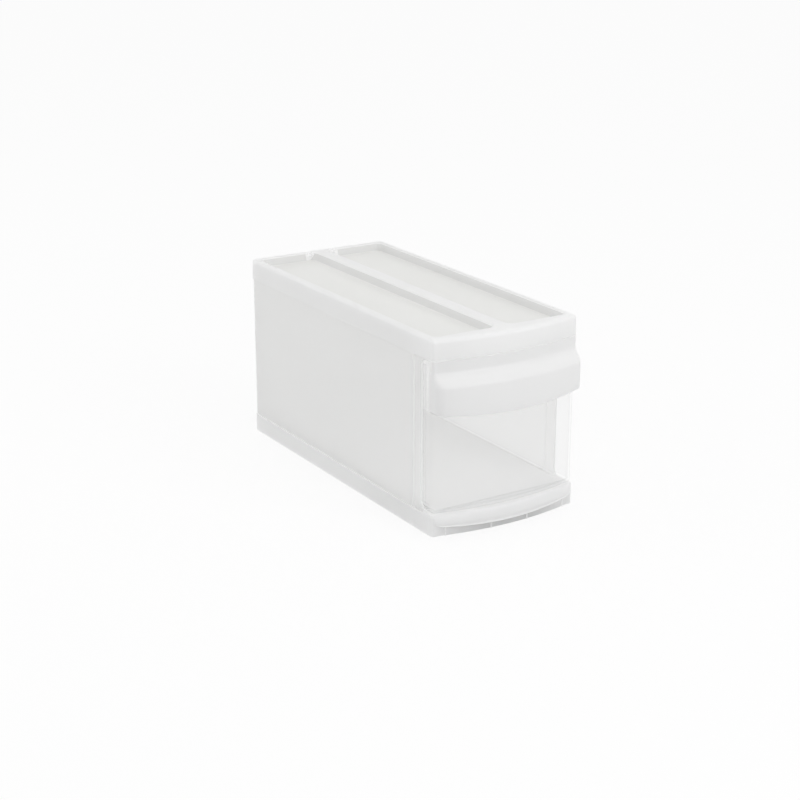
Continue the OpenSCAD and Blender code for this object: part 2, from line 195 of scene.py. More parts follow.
def wallSection(thick, edge, levels, steps=3):
    # Section of an upright wall as (share across it, share of its height, rise in mm): a rectangle with a
    # quarter arc of radius edge at each corner, and its two sides divided at the given shares
    turn = quarterTurn(steps + 1)
    inArc, upArc = edge * (1 - np.cos(turn)), edge * (1 - np.sin(turn))
    levels = np.array(levels, float)
    across = np.concatenate([inArc[::-1], levels * 0, inArc, thick - inArc[::-1], levels * 0 + thick,
                             thick - inArc])
    share = np.concatenate([turn * 0, levels, turn * 0 + 1, turn * 0 + 1, levels[::-1], turn * 0])
    rise = np.concatenate([upArc[::-1], levels * 0, -upArc, -upArc[::-1], levels * 0, upArc])
    return across / thick, share, rise


def wall(outer, inner, low, high, edge, levels=()):
    # An upright wall between an outer and an inner path: each point of the section is a blend of the two
    # paths, at the low edge plus its share of the height plus its rise
    thick = np.linalg.norm(outer - inner, axis=1).min()
    across, share, rise = wallSection(thick, edge, levels)
    low, high = np.broadcast_to(low, len(outer)), np.broadcast_to(high, len(outer))
    plan = outer[None] * (1 - across[:, None, None]) + inner[None] * across[:, None, None]
    height = low[None] + share[:, None] * (high - low)[None] + rise[:, None]
    return np.concatenate([plan, height[..., None]], axis=-1)


def endStrip(ring):
    # Quads across one end of an upright wall: its outer side and its inner side, both from the foot up
    half = len(ring) // 2
    return grid(np.stack([ring[:half], ring[:half - 1:-1]]))


def openWall(points):
    # An upright wall with its two ends closed
    return [grid(points, closedRows=True), endStrip(points[:, 0]), endStrip(points[:, -1])]


def bar(points):
    # A section carried along a path, with a flat face at each end
    return [grid(points, closedRows=True), lid(points[:, 0]), lid(points[::-1, -1])]


def block(low, high, edge, steps=3):
    # A box with rounded upright edges and rims: loops of four quarter arcs, at the inset and the height
    # that the rim's rounding gives, first from the foot up and then the same below the top
    low, high = np.array(low, float), np.array(high, float)
    rim = [(inset, low[2] + rise) for rise, inset in rounding(edge, steps + 1)]
    loops = []
    for inset, z in rim + [(inset, low[2] + high[2] - z) for inset, z in reversed(rim)]:
        (x0, y0), (x1, y1) = low[:2] + inset, high[:2] - inset
        r = max(edge - inset, leastEdge)
        corners = ((x1 - r, y0 + r, -90), (x1 - r, y1 - r, 0), (x0 + r, y1 - r, 90), (x0 + r, y0 + r, 180))
        loop = np.concatenate([arc(x, y, r, turn, turn + 90, steps) for x, y, turn in corners])
        loops.append(lift(loop, z))
    return slab(loops)


def twins(x, wide, y, z, edge):
    # A box of a width at -x and the same at x. y and z are (from, to)
    return [block((s * x - wide / 2, y[0], z[0]), (s * x + wide / 2, y[1], z[1]), edge) for s in (-1, 1)]


def dress(patches, finish):
    # Gives some patches another material of their piece, counted from 0
    return [(points, faces, finish) for points, faces in patches]


def each(solids, operation="UNION"):
    # Pairs of a solid and what it does to a piece
    return [(solid, operation) for solid in solids]


def makeMesh(name, patches, weld=0.002):
    # All patches as one mesh: points that round to the same multiple of the weld, in mm, are one point, and
    # folded quads are triangles
    points, quads, flats, finishes, flatFinishes, start = [], [], [], [], [], 0
    for patchPoints, faces, *finish in patches:
        finish = finish[0] if finish else 0
        points.append(patchPoints)
        if isinstance(faces, list):
            flats += [start + face for face in faces]
            flatFinishes += [finish] * len(faces)
        else:
            quads.append(faces + start)
            finishes.append(np.full(len(faces), finish))
        start += len(patchPoints)
    points = np.concatenate(points)
    first, place = np.unique(np.round(points / weld).astype(np.int64), axis=0,
                             return_index=True, return_inverse=True)[1:]
    place = place.ravel()
    quads, finishes = place[np.concatenate(quads)], np.concatenate(finishes)
    same = quads == np.roll(quads, -1, axis=1)
    folds = same.sum(axis=1)
    triangles = quads[folds == 1][~same[folds == 1]].reshape(-1, 3)
    faces = quads[folds == 0].tolist() + triangles.tolist()
    finishes = np.concatenate([finishes[folds == 0], finishes[folds == 1], flatFinishes])
    for flat in flats:
        ring = place[flat]
        faces.append(ring[ring != np.roll(ring, 1)].tolist())
    mesh = bpy.data.meshes.new(name)
    mesh.from_pydata((points[first] * millimetre).tolist(), [], faces)
    mesh.polygons.foreach_set("material_index", finishes.astype(np.int32))
    shape = bmesh.new()
    shape.from_mesh(mesh)
    bmesh.ops.recalc_face_normals(shape, faces=shape.faces)
    shape.to_mesh(mesh)
    shape.free()
    return mesh


def combine(piece, patches, operation):
    # Cuts the solid of some patches out of a piece, or joins it on
    tool = bpy.data.objects.new("tool", makeMesh("tool", patches))
    bpy.context.scene.collection.objects.link(tool)
    change = piece.modifiers.new("change", "BOOLEAN")
    change.operation, change.solver, change.object = operation, "MANIFOLD", tool
    bpy.context.view_layer.update()
    result = bpy.data.meshes.new_from_object(piece.evaluated_get(bpy.context.evaluated_depsgraph_get()))
    piece.modifiers.remove(change)
    piece.data = result
    bpy.data.objects.remove(tool)


def finishFaces(piece, sharpAngle):
    # Smooth faces that break at edges sharper than an angle, with normals weighted by the faces' size
    piece.data.polygons.foreach_set("use_smooth", np.ones(len(piece.data.polygons), bool))
    piece.data.set_sharp_from_angle(angle=math.radians(sharpAngle))
    weighted = piece.modifiers.new("flats stay flat", "WEIGHTED_NORMAL")
    weighted.keep_sharp = True
    weighted.weight = 60             # above 50 the larger faces count for more


def makePiece(name, patches, materials, node, changes=(), sharpAngle=38):
    # A finished piece in the frame: its first solid, changed by the others in turn. The angle is in degrees
    piece = bpy.data.objects.new(name, makeMesh(name, patches))
    bpy.context.scene.collection.objects.link(piece)
    for material in materials:
        piece.data.materials.append(material)
    for tool, operation in changes:
        combine(piece, tool, operation)
    finishFaces(piece, sharpAngle)
    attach(piece, frame["nodes"][node]["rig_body"])
    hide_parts(node)
    print(name, "made:", len(piece.data.polygons), "faces")


# Materials

def linear(hexCode):
    # sRGB to linear: c / 12.92 up to 0.04045, above it ((c + 0.055) / 1.055) to the power 2.4
    share = np.array([int(hexCode[i:i + 2], 16) for i in (1, 3, 5)]) / 255
    return (*np.where(share <= 0.04045, share / 12.92, ((share + 0.055) / 1.055) ** 2.4), 1.0)


def addNode(tree, kind, settings=None, values=None, links=None):
    # Adds a node to a tree, with its settings, the values of its sockets and the links into them
    node = tree.nodes.new(kind)
    for key, value in (settings or {}).items():
        setattr(node, key, value)
    for key, value in (values or {}).items():
        node.inputs[key].default_value = value
    for key, socket in (links or {}).items():
        tree.links.new(socket, node.inputs[key])
    return node


def newMaterial(name):
    # A material with an empty tree of nodes
    material = bpy.data.materials.new(name)
    material.use_nodes = True
    material.node_tree.nodes.clear()
    return material, material.node_tree


frosting = {
    "through": "#FDFDFD",         # light that has passed one surface of the wall
    "ior": 1.49,
    "grainWidth": 0.7,            # mm, the eroded mould's grain, drawn coarser than the real 0.1 to show
    "grainDepth": 0.02,           # mm
    "grainStrength": 0.25,        # share of that depth that the bump shows
    "grainDetail": 2.0,
    "cloudWidth": 60,             # mm, slow change of wall thickness along the melt's flow
    "cloudDetail": 1.0,
}

# Undyed polypropylene as it shows on each form. translucency is the share of the light that goes on
# inwards at each surface
finishes = {
    "frosted": {"form": "frosted wall", "colour": "#F5F5F4", "deepColour": "#F2F2F1",
                "translucency": 0.74, "roughness": 0.42},
    "thick": {"form": "thick cover and base", "colour": "#FDFDFD", "deepColour": "#FCFCFC",
              "translucency": 0.62, "roughness": 0.38},
    # The tray walls' darker colour is painted shade inside the trays
    "shadedTrayWall": {"form": "tray wall, painted shade", "colour": "#E0E0DF", "deepColour": "#DCDCDA",
                 "translucency": 0.3, "roughness": 0.42},
    "trayFloor": {"form": "tray floor", "colour": "#F3F3F0", "deepColour": "#F0F0EC",
                  "translucency": 0.45, "roughness": 0.42},
    # The lip's finish is a brighter, less translucent copy of the plastic: painted light on its rounded crest
    "nose": {"form": "lip, painted light", "colour": "#FCFCFC", "deepColour": "#FBFBFB",
             "translucency": 0.5, "roughness": 0.36},
    # The kick wall's colour is painted shade: dark under the lip, fading to pale towards both corners
    "kickShade": {"form": "thin kick wall", "colour": "#C6C6C6", "deepColour": "#F2F2F2",
             "translucency": 0.5, "roughness": 0.42, "shadeFadeFrom": 25, "shadeFadeTo": 84},
    "grip": {"form": "satin grip", "colour": "#FCFCFC", "deepColour": "#FBFBFB",
             "translucency": 0.45, "roughness": 0.34},
}


def mouldedPolypropylene(finish):
    # Injection-moulded natural polypropylene from an eroded mould: milky, softly glossy, and light passes
    # through it and scatters, so that nothing behind it keeps an edge. A rough plastic skin is mixed with
    # light from behind, and two noises give the mould's grain and the slow cloud
    material, tree = newMaterial("moulded polypropylene, " + finish["form"])
    where = addNode(tree, "ShaderNodeTexCoord")
    grain = addNode(tree, "ShaderNodeTexNoise",
                    values={"Scale": 1 / (frosting["grainWidth"] * millimetre),
                            "Detail": frosting["grainDetail"]},
                    links={"Vector": where.outputs["Object"]})
    bump = addNode(tree, "ShaderNodeBump",
                   values={"Strength": frosting["grainStrength"],
                           "Distance": frosting["grainDepth"] * millimetre},
                   links={"Height": grain.outputs["Fac"]})
    cloud = addNode(tree, "ShaderNodeTexNoise",
                    values={"Scale": 1 / (frosting["cloudWidth"] * millimetre),
                            "Detail": frosting["cloudDetail"]},
                    links={"Vector": where.outputs["Object"]})
    change = cloud.outputs["Fac"]
    if "shadeFadeTo" in finish:                             # painted shade under the lip, fading out towards both corners, in mm from the middle
        axes = addNode(tree, "ShaderNodeSeparateXYZ", links={"Vector": where.outputs["Object"]})
        aside = addNode(tree, "ShaderNodeMath", {"operation": "ABSOLUTE"}, links={0: axes.outputs["X"]})
        ends = addNode(tree, "ShaderNodeMapRange", values={"From Min": finish["shadeFadeFrom"] * millimetre,
                                                           "From Max": finish["shadeFadeTo"] * millimetre},
                       links={"Value": aside.outputs["Value"]})
        change = ends.outputs["Result"]
    tone = addNode(tree, "ShaderNodeMix", {"data_type": "RGBA"},
                   {"A": linear(finish["colour"]), "B": linear(finish["deepColour"])}, {"Factor": change})
    skin = addNode(tree, "ShaderNodeBsdfPrincipled",
                   values={"Roughness": finish["roughness"], "IOR": frosting["ior"]},
                   links={"Base Color": tone.outputs["Result"], "Normal": bump.outputs["Normal"]})
    glow = addNode(tree, "ShaderNodeBsdfTranslucent", values={"Color": linear(frosting["through"])})
    both = addNode(tree, "ShaderNodeMixShader", values={0: finish["translucency"]},
                   links={1: skin.outputs["BSDF"], 2: glow.outputs["BSDF"]})
    addNode(tree, "ShaderNodeOutputMaterial", links={"Surface": both.outputs["Shader"]})
    return material


glazing = {
    "faceTint": "#FFFFFF",        # light that passes one surface
    "edgePower": 6.0,             # how closely the edge tint keeps to grazing views
    "gloss": "#FCFCFC",
    "ior": 1.59,
    "rimShine": 0.4,              # share that the surface sends back at the flattest views
    "rimPower": 5.0,              # how closely that share keeps to them
}

# Clear polystyrene as it shows on each form. glance is the share sent back straight on, and edgeTint is
# the light that runs a long way inside the wall, at grazing views
clearFinishes = {
    "clear": {"form": "clear", "glance": 0.07, "roughness": 0.06, "edgeTint": "#DCDEDD"},
    "eroded": {"form": "eroded floor", "glance": 0.72, "roughness": 0.4, "edgeTint": "#DCDEDD"},
    "foot": {"form": "rounded foot", "glance": 0.04, "roughness": 0.3, "edgeTint": "#F6F7F6"},
}


def mouldedPolystyrene(finish):
    # Injection-moulded clear polystyrene: polished, colourless, with a mirror-like glance at low angles
    # and grey edges where the view runs along inside the wall. The edge tint follows Facing to a power, and
    # so does the glance, times the rim's shine and added to the share straight on
    material, tree = newMaterial("moulded polystyrene, " + finish["form"])
    facing = addNode(tree, "ShaderNodeLayerWeight", values={"Blend": 0.5})
    grazing = addNode(tree, "ShaderNodeMath", {"operation": "POWER"}, {1: glazing["edgePower"]},
                      {0: facing.outputs["Facing"]})
    tint = addNode(tree, "ShaderNodeMix", {"data_type": "RGBA"},
                   {"A": linear(glazing["faceTint"]), "B": linear(finish["edgeTint"])},
                   {"Factor": grazing.outputs["Value"]})
    through = addNode(tree, "ShaderNodeBsdfTransparent", links={"Color": tint.outputs["Result"]})
    skin = addNode(tree, "ShaderNodeBsdfPrincipled",
                   values={"Base Color": linear(glazing["gloss"]), "Roughness": finish["roughness"],
                           "IOR": glazing["ior"]})
    rim = addNode(tree, "ShaderNodeMath", {"operation": "POWER"}, {1: glazing["rimPower"]},
                  {0: facing.outputs["Facing"]})
    share = addNode(tree, "ShaderNodeMath", {"operation": "MULTIPLY_ADD"},
                    {1: glazing["rimShine"], 2: finish["glance"]}, {0: rim.outputs["Value"]})
    both = addNode(tree, "ShaderNodeMixShader",
                   links={0: share.outputs["Value"], 1: through.outputs["BSDF"], 2: skin.outputs["BSDF"]})
    addNode(tree, "ShaderNodeOutputMaterial", links={"Surface": both.outputs["Shader"]})
    return material


frosted, thick, shadedTrayWall, trayFloor, nose, kickShade, grip = map(mouldedPolypropylene, finishes.values())
clear, eroded, foot = map(mouldedPolystyrene, clearFinishes.values())
print("materials made")


# The casing's plan, which the cover, the base and the drawer's front share

coverLow, coverHigh = span("top_cover")
baseLow, baseHigh = span("base")
tubLow, tubHigh = span("drawer_tub")
gripLow, gripHigh = span("drawer_handle")
panelLow, panelHigh = span("right_side_panel")
backLow, backHigh = span("back_panel")

casing = {
    "halfWidth": coverHigh[0],
    "back": coverHigh[1],
    "lipOut": 2.0,                # the base's lip stands out this far beyond the bow
    "bowDepth": 12.0,
    "frontRadius": 4.0,
    "backRadius": 6.0,
    "wall": 2.0,
    "bandTop": 22.4,              # top of the base's band, just below the panels
    "tabReach": 6.0,              # the drawer's stop tabs reach this far below its floor
    "bowSteps": 36,
    "cornerSteps": 8,
    "sideSteps": 40,
    "backSteps": 24,
}
frontY = baseLow[1] + casing["lipOut"]
cornerY = frontY + casing["bowDepth"]
bowRadius = (casing["halfWidth"] ** 2 + casing["bowDepth"] ** 2) / (2 * casing["bowDepth"])
bowCentre = frontY + bowRadius
tubFloor = tubLow[2] + casing["tabReach"]


def bowedHalf(halfWidth, radius, frontRadius):
    # Right half of a bowed front, from its middle to where the corner's fillet meets the side. The
    # fillet's centre lies a fillet radius inside both the bow and the side
    f = max(frontRadius, leastRadius)
    y = bowCentre - math.sqrt((radius - f) ** 2 - (halfWidth - f) ** 2)
    lean = math.degrees(math.atan2(bowCentre - y, halfWidth - f))
    return chain(arc(0, bowCentre, radius, -90, -lean, casing["bowSteps"]),
                 arc(halfWidth - f, y, f, -lean, 0, casing["cornerSteps"]))


def casingHalf(inset):
    # Right half of the casing's outline, moved in: bowed front, side, back corner and back
    w, back = casing["halfWidth"] - inset, casing["back"] - inset
    b = max(casing["backRadius"] - inset, leastRadius)
    front = bowedHalf(w, bowRadius - inset, casing["frontRadius"] - inset)
    return chain(front, line(front[-1], (w, back - b), casing["sideSteps"]),
                 arc(w - b, back - b, b, 0, 90, casing["cornerSteps"]),
                 line((w - b, back), (0, back), casing["backSteps"]))


# Top cover

cover = {
    "headerLift": 1.2,            # the front's lower edge is this much higher than the skirt's
    "headerWrap": 6.0,            # and stays so this far round the corner
    "rimThick": 2.5,
    "topRadius": 4.0,
    "draft": 0.4,
    "lowEdge": 0.6,
    "sideRim": 7.5,
    "backRim": 9.0,
    "frontRim": 8.0,
    "bar": 16.0,                  # width of the bar between the trays
    "trayDepth": 9.0,
    "traySlope": 3.0,
    "trayRadius": 7.0,
    "trayEdge": 1.1,              # rounding where the rim turns down into a tray
    "trayFillet": 2.2,            # and where the tray's wall meets its floor
    "trayChamfer": 1.0,           # on the tray's lower edge, inside the casing
    "trayRows": 6,                # loops in each of these two roundings
    "shadedWallRows": (5, 8),           # first and last loop of the tray wall, whose colour is painted shade
    "notchX": 14.5,
    "notchWide": 6.0,
    "notchHigh": 5.0,
    "notchDeep": 4.0,
    "notchRib": 2.4,
}


def trayLoop(shift, grow):
    # A tray's outline moved in by its slope and grown by a wall, from the middle of its inner front
    # corner round to the same point, divided as the half outline and the bar's middle line are
    x0, x1 = cover["bar"] / 2 + shift - grow, casing["halfWidth"] - cover["sideRim"] - shift + grow
    y0, y1 = cornerY + cover["frontRim"] + shift - grow, casing["back"] - cover["backRim"] - shift + grow
    r = cover["trayRadius"] + grow
    half = casing["cornerSteps"] // 2
    return chain(arc(x0 + r, y0 + r, r, 225, 270, half),
                 line((x0 + r, y0), (x1 - r, y0), casing["bowSteps"] - half),
                 arc(x1 - r, y0 + r, r, -90, 0, casing["cornerSteps"]),
                 line((x1, y0 + r), (x1, y1 - r), casing["sideSteps"]),
                 arc(x1 - r, y1 - r, r, 0, 90, casing["cornerSteps"]),
                 line((x1 - r, y1), (x0 + r, y1), casing["backSteps"] - half),
                 arc(x0 + r, y1 - r, r, 90, 180, casing["cornerSteps"]),
                 line((x0, y1 - r), (x0, y0 + r), casing["sideSteps"]),
                 arc(x0 + r, y0 + r, r, 180, 225, half))[:-1]


def halfLoop(inset):
    # The right half of the outline, closed along the bar's middle line
    half = casingHalf(inset)
    steps = casing["sideSteps"] + casing["cornerSteps"]
    return chain(half, line(half[-1], half[0], steps))[:-1]


def makeCover():
    # The outline's loops at the insets and heights of a profile: down inside the skirt, round its lower
    # edge, up its face and over the top's rounding. Each tray is the tray's loop in the same way, once
    # inside and once a wall outside, and two flat rings join them to the rim and the ceiling
    top, wide = coverHigh[2], casing["wall"]
    under = top - cover["rimThick"]
    wrapY = cornerY + cover["headerWrap"]
    low = coverLow[2] + cover["headerLift"] * smooth(wrapY + 1, wrapY - 1, bothHalves(casingHalf(0))[:, 1])
    lowEdge = rounding(cover["lowEdge"], 4)
    profile = [(wide, under)] + [(wide - inset, low + rise) for inset, rise in lowEdge]
    profile += [(inset, low + rise) for inset, rise in reversed(lowEdge)]
    profile += [(cover["draft"] + inset, top - fall) for inset, fall in rounding(cover["topRadius"], 10)]
    patches = [tube([lift(bothHalves(casingHalf(inset)), height) for inset, height in profile])]

    def slopeAt(z):
        # How far a tray's wall leans in at a height: the slope times the share of the depth
        return cover["traySlope"] * (top - z) / cover["trayDepth"]

    floor, chamfer = top - cover["trayDepth"], cover["trayChamfer"]
    inside = [lift(trayLoop(slopeAt(top - fall), grow), top - fall)                  # the rim turns down
              for fall, grow in rounding(cover["trayEdge"], cover["trayRows"])]
    inside += [lift(trayLoop(slopeAt(floor + rise) + shift, 0), floor + rise)        # and into the floor
               for shift, rise in rounding(cover["trayFillet"], cover["trayRows"])]
    outside = [lift(trayLoop(slopeAt(z), wide), z) for z in (under, floor - wide + chamfer)]
    outside.append(lift(trayLoop(slopeAt(floor - wide) + chamfer, wide), floor - wide))
    rim = np.array([lift(halfLoop(cover["draft"] + cover["topRadius"]), top), inside[0]])
    ceiling = np.array([lift(halfLoop(wide), under), outside[0]])
    inside, outside = np.array(inside), np.array(outside)
    # The tray walls take the second material, whose colour is painted shade
    start, end = cover["shadedWallRows"]
    for side in ((1, 1, 1), (-1, 1, 1)):
        patches += [tube(rim * side), tube(ceiling * side), tube(inside[:start + 1] * side),
                    *dress([tube(inside[start:end + 1] * side)], 1),
                    *dress([tube(inside[end:] * side), fan(inside[-1] * side)], 2),
                    tube(outside * side), fan(outside[-1] * side)]

    # Lock notches in the back rim: a pocket open to the tray and to the top, with a rib in its middle
    wallY, low = casing["back"] - cover["backRim"], top - cover["notchHigh"]
    slopeY, deepY = wallY - cover["traySlope"], wallY + cover["notchDeep"]
    x, wideX = cover["notchX"], cover["notchX"] + cover["notchWide"]
    housing = block((-wideX, slopeY, floor - wide + softEdge), (wideX, deepY + bite, under + bite), crispEdge)
    pockets = twins(x, cover["notchWide"], (slopeY, deepY), (low, top + bite), softEdge)
    ribs = twins(x, cover["notchRib"], (wallY, deepY + softEdge), (low - softEdge, top - bite), softEdge)
    changes = [(housing, "UNION")]
    for pocket, rib in zip(pockets, ribs):
        changes += [(pocket, "DIFFERENCE"), (rib, "UNION")]
    # The cover's second material is painted shade on the tray walls
    makePiece("cover_moulding", patches, [thick, shadedTrayWall, trayFloor], "top_cover", changes)


makeCover()


# Side panels

panel = {
    "thick": 2.0,
    "cutout": 25.0,               # depth of the cutout at the front
    "border": 11.0,               # width of the stepped border behind it
    "toe": 7.0,                   # reach and radius of the cutout's filleted corners
    "toeGap": 0.5,
    "toeRows": 14,                # levels in each of those corners
    "middleRows": 7,              # and between them
    "frontZone": 0.5,             # points this near the cutout's edge follow it
    "return": 11.0,
    "cornerRadius": 5.0,
    "stepEdge": 0.6,
    "rimEdge": 0.4,
    "rimGap": 0.6,                # between the top and bottom edge and the nearest level
    "tongueLap": 2.0,
    "beadIn": 0.8,                # the bead behind the border stands in this far
    "beadOut": 0.5,               # and reaches this far into the wall
    "beadWide": 2.0,
    "beadGap": 2.0,               # between its ends and the panel's
    "gap": 0.3,
    "plateSteps": 30,
    "plateEdge": 0.5,
    "plateLap": 0.3,              # the back's plate is thicker by this, to meet the plate behind it
}
panelTop = coverLow[2] - panel["gap"]
panelBottom = casing["bandTop"] + panel["gap"]
toeLow = tubFloor + panel["toe"]
toeHigh = tubHigh[2] - panel["toe"]
cutoutY = cornerY + panel["cutout"]
stepY = cutoutY + panel["border"]


def toeReach(z):
    # How far the cutout's edge runs forward at a height: round a circle at each end, else nothing
    r = panel["toe"] + panel["toeGap"]
    away = np.maximum(np.maximum(toeLow - z, z - toeHigh), 0)
    bend = r - np.sqrt(np.maximum(r * r - np.minimum(away, r) ** 2, 0))
    return np.minimum(bend, panel["toe"])


def sidePatches():
    # The right panel: a wall along a path from the cutout over the step, along the side and round the back
    # corner, whose front edge moves forward by toeReach, then its two tongues and its bead as boxes
    out, back, t = panelHigh[0], panelHigh[1], panel["thick"]
    end, r, e = out - panel["return"], panel["cornerRadius"], panel["stepEdge"]
    outer = roundedPath([(out - t, cutoutY), (out - t, stepY), (out, stepY), (out, back), (end, back)],
                        [softEdge, e, r])
    inner = roundedPath([(out - 2 * t, cutoutY), (out - 2 * t, stepY + t), (out - t, stepY + t),
                         (out - t, back - t), (end, back - t)], [e, softEdge, r - t])
    levels = np.concatenate([np.linspace(panelBottom + panel["rimGap"], toeLow, panel["toeRows"]),
                             np.linspace(toeLow, toeHigh, panel["middleRows"])[1:-1],
                             np.linspace(toeHigh, panelTop - panel["rimGap"], panel["toeRows"])])
    levels = (levels - panelBottom) / (panelTop - panelBottom)
    points = wall(outer, inner, panelBottom, panelTop, panel["rimEdge"], levels)
    atFront = points[..., 1] < cutoutY + panel["frontZone"]
    points[..., 1] -= np.where(atFront, toeReach(points[..., 2]), 0)
    tongueX, tongueEnd = casing["halfWidth"] - casing["wall"] - panel["gap"], back - casing["backRadius"]
    lap = panel["tongueLap"]
    heights = ((panelTop - lap, panelHigh[2]), (panelLow[2], panelBottom + lap))
    tongues = [block((tongueX - t, stepY, low), (tongueX, tongueEnd, high), softEdge)
               for low, high in heights]
    beadX, beadY = out - t, stepY + panel["border"] / 2
    bead = block((beadX - panel["beadIn"], beadY, panelBottom + panel["beadGap"]),
                 (beadX + panel["beadOut"], beadY + panel["beadWide"], panelTop - panel["beadGap"]), softEdge)
    return [openWall(points), *tongues, bead]


for side, sign in (("right", 1), ("left", -1)):
    wallPatches, *extras = [[(p * (sign, 1, 1), f) for p, f in patches] for patches in sidePatches()]
    makePiece(side + "_panel_moulding", wallPatches, [frosted], side + "_side_panel", each(extras))


# Back panel

def makeBackPanel():
    # A plate between the returns of the side panels, a wider plate behind it that laps the returns, and a
    # taller one for the tongues
    t, gap, out = panel["thick"], panel["gap"], backHigh[1]
    field, steps = panelHigh[0] - panel["return"] - gap, panel["plateSteps"]
    lapOut, lapIn = out - t - gap, out - 2 * t - gap
    outer = line((field, out), (-field, out), steps)
    inner = line((field, lapOut - panel["plateLap"]), (-field, lapOut - panel["plateLap"]), steps)
    plate = openWall(wall(outer, inner, panelBottom, panelTop, panel["plateEdge"]))
    sizes = ((backHigh[0], panelBottom, panelTop),
             (casing["halfWidth"] - 2 * panel["return"], backLow[2], backHigh[2]))
    behind = [block((-half, lapIn, low), (half, lapOut, high), softEdge) for half, low, high in sizes]
    makePiece("back_panel_moulding", plate, [frosted], "back_panel", each(behind))


makeBackPanel()


# Base

base = {
    "foot": 3.0,                  # height of the band's lower edge
    "floor": 6.0,
    "bandEdge": 0.5,
    "bandRise": 0.6,              # the band rises to the ledge within this of the ledge's back edge
    "ledgeTop": 25.5,
    "ledgeDeep": 17.5,
    "ledgeStep": 0.03,            # the band ends this far below the ledge's top
    "wallStep": 0.2,              # and so does the wall under the ledge's back edge
    "lipLow": 9.7,
    "lipRise": 4.5,
    "lipRound": 9.5,
    "lipEdge": 0.5,
    "lipNarrow": 1.0,             # the lip is narrower than the casing by this at each end
    "lipTip": 11.0,               # length of the lip's rounded ends
    "lipTipFlat": 1.0,            # length at their very ends that doesn't stand out
    "lipTipLift": 1.0,            # their lower edge is this far above the foot of the nose
    "lipTuck": 0.7,
    "lipFace": (0.12, 0.25, 0.4, 0.6, 0.8),    # rows up its face, as shares of the face's height
    "lipFaceLeast": 0.3,
    "lipShelf": 0.2,              # of the ledge's underside before the lip's inner face
    "crownY": -172.5,             # the lip's crown ends here, in a straight line along the ledge
    "kickBack": 1.5,
    "kickFade": (76.0, 83.0),     # distances from the middle between which its step fades out
    "kickTop": 0.8,               # the kick wall ends this far above the lip's edge
    "kickEnd": 0.5,               # and its painted shade ends this far before the corner
    "cornerFade": (4.0, 1.2),     # distances from the side between which its height becomes the band's
    "ribThick": 1.4,
    "ribs": (21.5, 71.0),
    "ribIn": 0.4,
    "ribLift": 0.05,
    "ribEdge": 0.2,
    "runnerX": 57.0,
    "runnerWide": 4.0,
    "runnerEdge": 0.6,
    "footWide": 13.0,
    "footLong": 44.0,
    "footInset": 1.8,
    "footEdge": 0.8,
    "slotWide": 14.0,
    "slotLong": 5.0,
    "slotGap": 0.1,               # between the slot and the wall behind it
    "slotEdge": 0.4,
    "seamWide": 0.8,              # groove up the band, below the panel's step
    "seamDeep": 0.6,
    "seamTop": 11.2,
}


def frontPath(outset, halfWidth, steps=60):
    # Part of the bow that lies within a half width, moved out: evenly spaced in x, y from the circle
    x = np.linspace(-halfWidth, halfWidth, steps + 1)
    return np.stack([x, bowCentre - np.sqrt((bowRadius + outset) ** 2 - x ** 2)], axis=1)


def lipEdge(x):
    # Height of the lip's lower edge: a circle through the middle's height that rises by lipRise at the side
    w, rise = casing["halfWidth"], base["lipRise"]
    r = (w * w + rise * rise) / (2 * rise)
    return base["lipLow"] + r - np.sqrt(r * r - x * x)


def bandPatches(ledgeY):
    # Band round the foot: a wall that follows the casing outside, and at the front steps back under the lip
    # as a kick wall. The step fades out towards the corners
    plan = bothHalves(casingHalf(0))
    ahead = plan[:, 1] < cornerY
    step = np.where(ahead, 1 - smooth(*base["kickFade"], abs(plan[:, 0])), 0)[:, None]

    def ring(inset):
        # The outline moved in by the inset, blended by the step with the same moved further back
        return (bothHalves(casingHalf(inset)) * (1 - step)
                + bothHalves(casingHalf(inset + base["kickBack"])) * step)

    side, band = casing["halfWidth"], casing["bandTop"]
    corner = smooth(side - base["cornerFade"][0], side - base["cornerFade"][1], abs(plan[:, 0]))
    ledge = smooth(ledgeY + base["bandRise"], ledgeY - base["bandRise"], plan[:, 1])
    high = band + (base["ledgeTop"] - base["ledgeStep"] - band) * ledge
    high = np.where(ahead, high * corner + (lipEdge(plan[:, 0]) + base["kickTop"]) * (1 - corner), high)
    points = wall(ring(0), ring(casing["wall"]), base["foot"], high, base["bandEdge"])
    # The kick wall, up to kickEnd before the corner, takes the second material, whose colour paints the shade
    # under the lip
    last = int(np.argmax(plan[:, 1] >= cornerY - base["kickEnd"]))
    points = np.roll(points, last, axis=1)
    kick, rest = points[:, :2 * last + 1], np.concatenate([points[:, 2 * last:], points[:, :1]], axis=1)
    return [grid(rest, closedRows=True)] + dress([grid(kick, closedRows=True)], 1)


